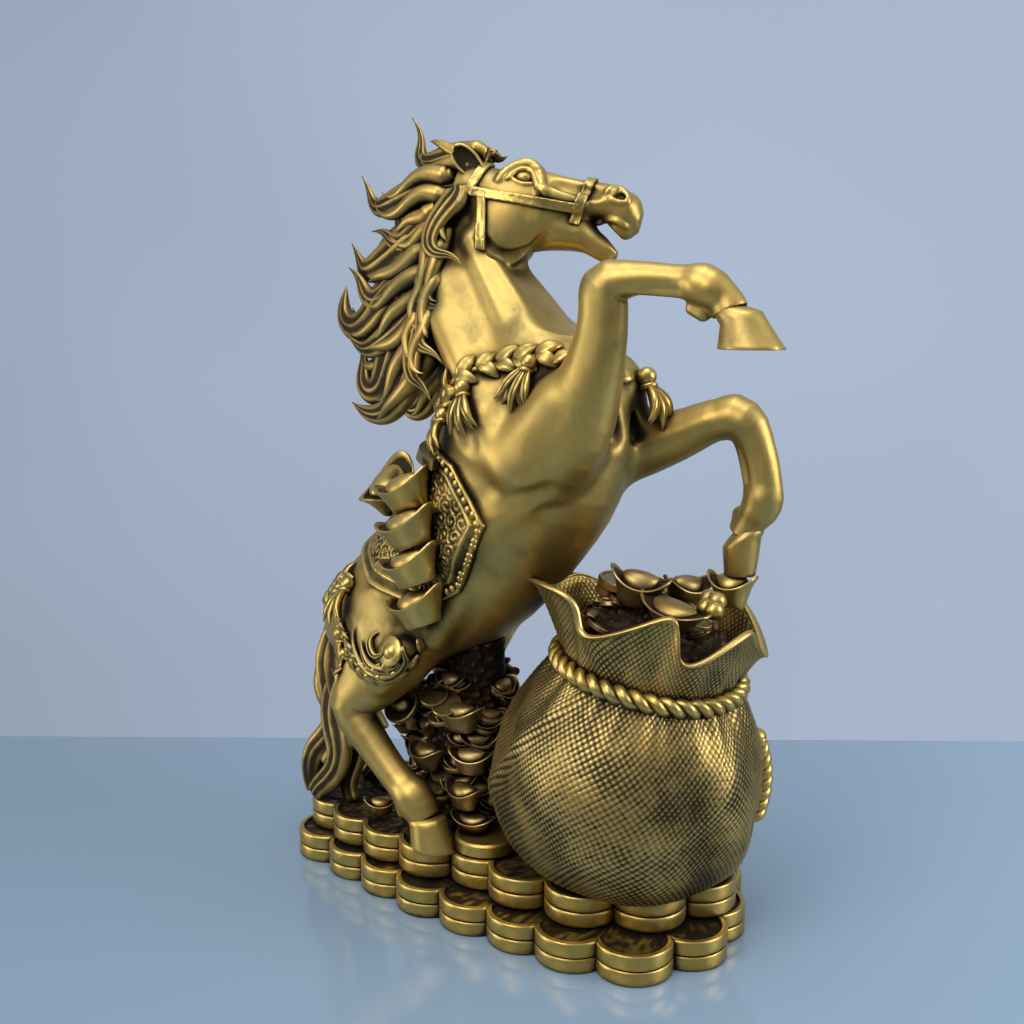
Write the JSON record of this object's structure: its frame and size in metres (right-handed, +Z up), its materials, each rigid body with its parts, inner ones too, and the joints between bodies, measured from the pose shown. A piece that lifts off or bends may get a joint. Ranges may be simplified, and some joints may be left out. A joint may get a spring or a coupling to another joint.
{
  "type": "horse statuette",
  "caption": "Cast brass figure of a rearing horse with saddle, garlands and treasure, one forehoof on a rope-tied money bag, standing on a plinth of stacked coins.",
  "frame": {"origin": "centre of the plinth's flat underside", "axes": "+X the way the horse faces, towards the bag; +Y the horse's left side; +Z up"},
  "size_m": [0.2465, 0.116, 0.3413],
  "materials": {
    "plinth": "satin antique brass, dark in the recesses",
    "horse": "brushed satin antique brass",
    "hair": "antique brass with dark patina between the strands",
    "tack": "antique brass with dark patina round the relief",
    "ingots": "copper-toned antique brass",
    "bag": "antique brass weave with dark gaps",
    "rope": "antique brass, polished on the high points",
    "heap": "dark brown patinated brass"
  },
  "bodies": {
    "root": {"plinth_lower_coins": "plinth", "plinth_upper_coins": "plinth", "plinth_tall_stacks": "plinth", "torso": "horse", "neck": "horse", "head": "horse", "lower_jaw": "horse", "ears": "horse", "eyes": "horse", "right_foreleg": "horse", "left_foreleg": "horse", "right_hindleg": "horse", "left_hindleg": "horse", "hooves": "horse", "mane_locks": "hair", "neck_locks": "hair", "forelock": "hair", "tail_locks": "hair", "noseband": "tack", "cheek_straps": "tack", "browband": "tack", "throatlatch": "tack", "saddle_cloth": "tack", "saddle_cloth_beads": "tack", "saddle_arch": "tack", "breast_garland": "tack", "rump_swags": "tack", "crupper_garland": "tack", "garland_tassels": "tack", "flank_bosses": "tack", "saddle_ingots": "ingots", "bag_ingots": "ingots", "foothold_ingot": "ingots", "bag_coins": "ingots", "bag_sack": "bag", "bag_ruffle": "bag", "bag_fill": "bag", "bag_berries": "bag", "bag_rope": "rope", "bag_rope_tassel": "rope", "heap_mound": "heap", "heap_ingots": "heap", "heap_dish": "heap", "heap_pearl": "heap", "heap_coins": "heap"}
  },
  "joints": []
}
